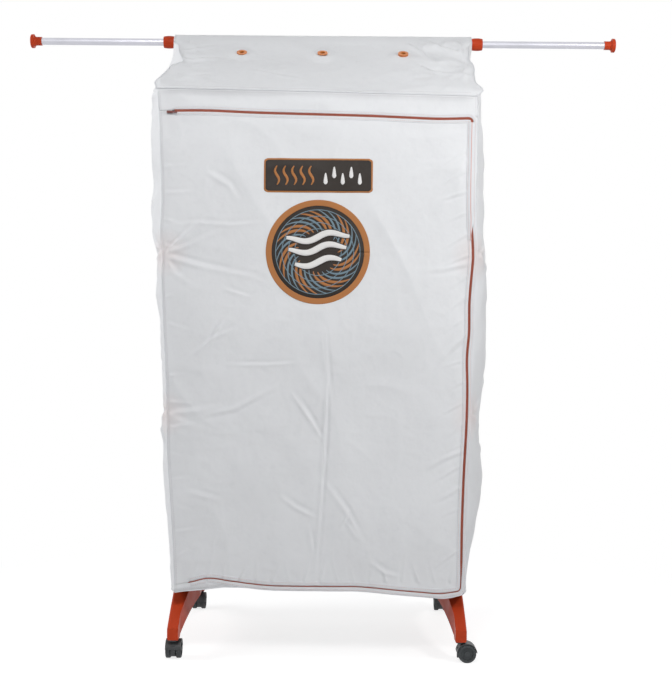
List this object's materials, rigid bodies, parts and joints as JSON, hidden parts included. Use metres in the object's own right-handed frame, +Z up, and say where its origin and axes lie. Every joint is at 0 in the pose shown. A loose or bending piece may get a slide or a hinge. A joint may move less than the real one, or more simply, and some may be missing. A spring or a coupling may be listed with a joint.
{
  "type": "electric clothes drying rack",
  "caption": "Tower drying rack on casters with folding wings, a zipped fabric cover with a gabled roof, a warm air blower in the base and telescopic hanging bars.",
  "frame": {"origin": "on the floor, under the middle of the tower", "axes": "+X to the right seen from the front, +Y towards the back, +Z up; the door faces -Y"},
  "size_m": [1.416, 0.542, 1.4453],
  "materials": {
    "orange_plastic": "moulded polypropylene, fine texture, satin",
    "tube_aluminium": "drawn tube, satin anodised",
    "coated_steel": "white plastic coated wire",
    "caster_plastic": "black moulded nylon",
    "caster_tread": "black wheel with a soft tread",
    "cover_fabric": "thin coated white nylon, creased, faint sheen",
    "zip_tape": "dark red woven tape with teeth",
    "zip_metal": "dark lacquered die casting",
    "eyelet_plastic": "orange pressed ring",
    "screw_steel": "zinc plated",
    "blower_plastic": "white moulded, lightly textured",
    "dark_plastic": "dark grey moulded",
    "heater_aluminium": "pressed fins",
    "motor_steel": "zinc plated can",
    "impeller_plastic": "black moulded"
  },
  "bodies": {
    "rack": {"base_tube_front": "tube_aluminium", "base_tube_rear": "tube_aluminium", "blower_housing": "blower_plastic", "blower_tray": "blower_plastic", "cover_back": "cover_fabric", "cover_front": "cover_fabric", "cover_roof": "cover_fabric", "cover_side_left": "cover_fabric", "cover_side_right": "cover_fabric", "fan_motor": "motor_steel", "foot_left": "orange_plastic", "foot_right": "orange_plastic", "frame_screws": "screw_steel", "heater_element": "heater_aluminium", "intake_grille": "dark_plastic", "outlet_grille": "dark_plastic", "post_left": "tube_aluminium", "post_right": "tube_aluminium", "power_inlet": "dark_plastic", "ridge_collar_left": "orange_plastic", "ridge_collar_right": "orange_plastic", "ridge_tees": "orange_plastic", "ridge_tube": "tube_aluminium", "roof_eyelets": "eyelet_plastic", "tier_hub_low_left": "orange_plastic", "tier_hub_low_right": "orange_plastic", "tier_hub_mid_left": "orange_plastic", "tier_hub_mid_right": "orange_plastic", "tier_hub_top_left": "orange_plastic", "tier_hub_top_right": "orange_plastic", "zip_tape": "zip_tape"},
    "hanging_bar_left": {"bar_left": "tube_aluminium", "bar_knob_left": "orange_plastic"},
    "hanging_bar_right": {"bar_right": "tube_aluminium", "bar_knob_right": "orange_plastic"},
    "wing_low_front": {"wing_low_front_arms": "orange_plastic", "wing_low_front_rods": "coated_steel"},
    "wing_low_rear": {"wing_low_rear_arms": "orange_plastic", "wing_low_rear_rods": "coated_steel"},
    "wing_mid_front": {"wing_mid_front_arms": "orange_plastic", "wing_mid_front_rods": "coated_steel"},
    "wing_mid_rear": {"wing_mid_rear_arms": "orange_plastic", "wing_mid_rear_rods": "coated_steel"},
    "wing_top_front": {"wing_top_front_arms": "orange_plastic", "wing_top_front_rods": "coated_steel"},
    "wing_top_rear": {"wing_top_rear_arms": "orange_plastic", "wing_top_rear_rods": "coated_steel"},
    "door": {"door_panel": "cover_fabric"},
    "zip_slider": {"zip_slider": "zip_metal"},
    "caster_front_left": {"caster_front_left_fork": "caster_plastic"},
    "wheels_front_left": {"caster_front_left_wheels": "caster_tread"},
    "caster_front_right": {"caster_front_right_fork": "caster_plastic"},
    "wheels_front_right": {"caster_front_right_wheels": "caster_tread"},
    "caster_rear_left": {"caster_rear_left_fork": "caster_plastic"},
    "wheels_rear_left": {"caster_rear_left_wheels": "caster_tread"},
    "caster_rear_right": {"caster_rear_right_fork": "caster_plastic"},
    "wheels_rear_right": {"caster_rear_right_wheels": "caster_tread"},
    "impeller": {"fan_impeller": "impeller_plastic"},
    "timer": {"timer_knob": "dark_plastic"},
    "switch": {"power_switch": "dark_plastic"}
  },
  "joints": [
    {"name": "bar_left_slide", "type": "slide", "parent": "rack", "child": "hanging_bar_left", "axis": [1, 0, 0], "range_m": [0, 0.294]},
    {"name": "bar_right_slide", "type": "slide", "parent": "rack", "child": "hanging_bar_right", "axis": [-1, 0, 0], "range_m": [0, 0.294]},
    {"name": "wing_low_front_fold", "type": "hinge", "parent": "rack", "child": "wing_low_front", "pos_m": [0, -0.03, 0.54], "axis": [1, 0, 0], "range_deg": [0, 88]},
    {"name": "wing_low_rear_fold", "type": "hinge", "parent": "rack", "child": "wing_low_rear", "pos_m": [0, 0.03, 0.54], "axis": [-1, 0, 0], "range_deg": [0, 88]},
    {"name": "wing_mid_front_fold", "type": "hinge", "parent": "rack", "child": "wing_mid_front", "pos_m": [0, -0.03, 0.898], "axis": [1, 0, 0], "range_deg": [0, 88]},
    {"name": "wing_mid_rear_fold", "type": "hinge", "parent": "rack", "child": "wing_mid_rear", "pos_m": [0, 0.03, 0.898], "axis": [-1, 0, 0], "range_deg": [0, 88]},
    {"name": "wing_top_front_fold", "type": "hinge", "parent": "rack", "child": "wing_top_front", "pos_m": [0, -0.03, 1.256], "axis": [1, 0, 0], "range_deg": [0, 88]},
    {"name": "wing_top_rear_fold", "type": "hinge", "parent": "rack", "child": "wing_top_rear", "pos_m": [0, 0.03, 1.256], "axis": [-1, 0, 0], "range_deg": [0, 88]},
    {"name": "door_swing", "type": "hinge", "parent": "rack", "child": "door", "pos_m": [-0.34154, -0.232, 0.693], "axis": [0.0287, 0, -0.9996], "range_deg": [0, 110]},
    {"name": "zip_slide", "type": "slide", "parent": "rack", "child": "zip_slider", "axis": [0.9999, 0, -0.0168], "range_m": [0, 0.65]},
    {"name": "caster_front_left_swivel", "type": "hinge", "parent": "rack", "child": "caster_front_left", "pos_m": [-0.3175, -0.255, 0.045], "axis": [0, 0, 1], "continuous": true},
    {"name": "wheels_front_left_spin", "type": "hinge", "parent": "caster_front_left", "child": "wheels_front_left", "pos_m": [-0.3175, -0.242, 0.02], "axis": [1, 0, 0], "continuous": true},
    {"name": "caster_front_right_swivel", "type": "hinge", "parent": "rack", "child": "caster_front_right", "pos_m": [0.3175, -0.255, 0.045], "axis": [0, 0, 1], "continuous": true},
    {"name": "wheels_front_right_spin", "type": "hinge", "parent": "caster_front_right", "child": "wheels_front_right", "pos_m": [0.3305, -0.255, 0.02], "axis": [0, -1, 0], "continuous": true},
    {"name": "caster_rear_left_swivel", "type": "hinge", "parent": "rack", "child": "caster_rear_left", "pos_m": [-0.3175, 0.255, 0.045], "axis": [0, 0, 1], "continuous": true},
    {"name": "wheels_rear_left_spin", "type": "hinge", "parent": "caster_rear_left", "child": "wheels_rear_left", "pos_m": [-0.3175, 0.242, 0.02], "axis": [-1, 0, 0], "continuous": true},
    {"name": "caster_rear_right_swivel", "type": "hinge", "parent": "rack", "child": "caster_rear_right", "pos_m": [0.3175, 0.255, 0.045], "axis": [0, 0, 1], "continuous": true},
    {"name": "wheels_rear_right_spin", "type": "hinge", "parent": "caster_rear_right", "child": "wheels_rear_right", "pos_m": [0.3175, 0.242, 0.02], "axis": [-1, 0, 0], "continuous": true},
    {"name": "impeller_spin", "type": "hinge", "parent": "rack", "child": "impeller", "pos_m": [0, 0, 0.224], "axis": [0, 0, 1], "continuous": true},
    {"name": "timer_turn", "type": "hinge", "parent": "rack", "child": "timer", "pos_m": [-0.064, -0.12, 0.264], "axis": [0, 1, 0], "range_deg": [0, 300]},
    {"name": "switch_rock", "type": "hinge", "parent": "rack", "child": "switch", "pos_m": [0.046, -0.11875, 0.264], "axis": [-1, 0, 0], "range_deg": [0, 16]}
  ]
}
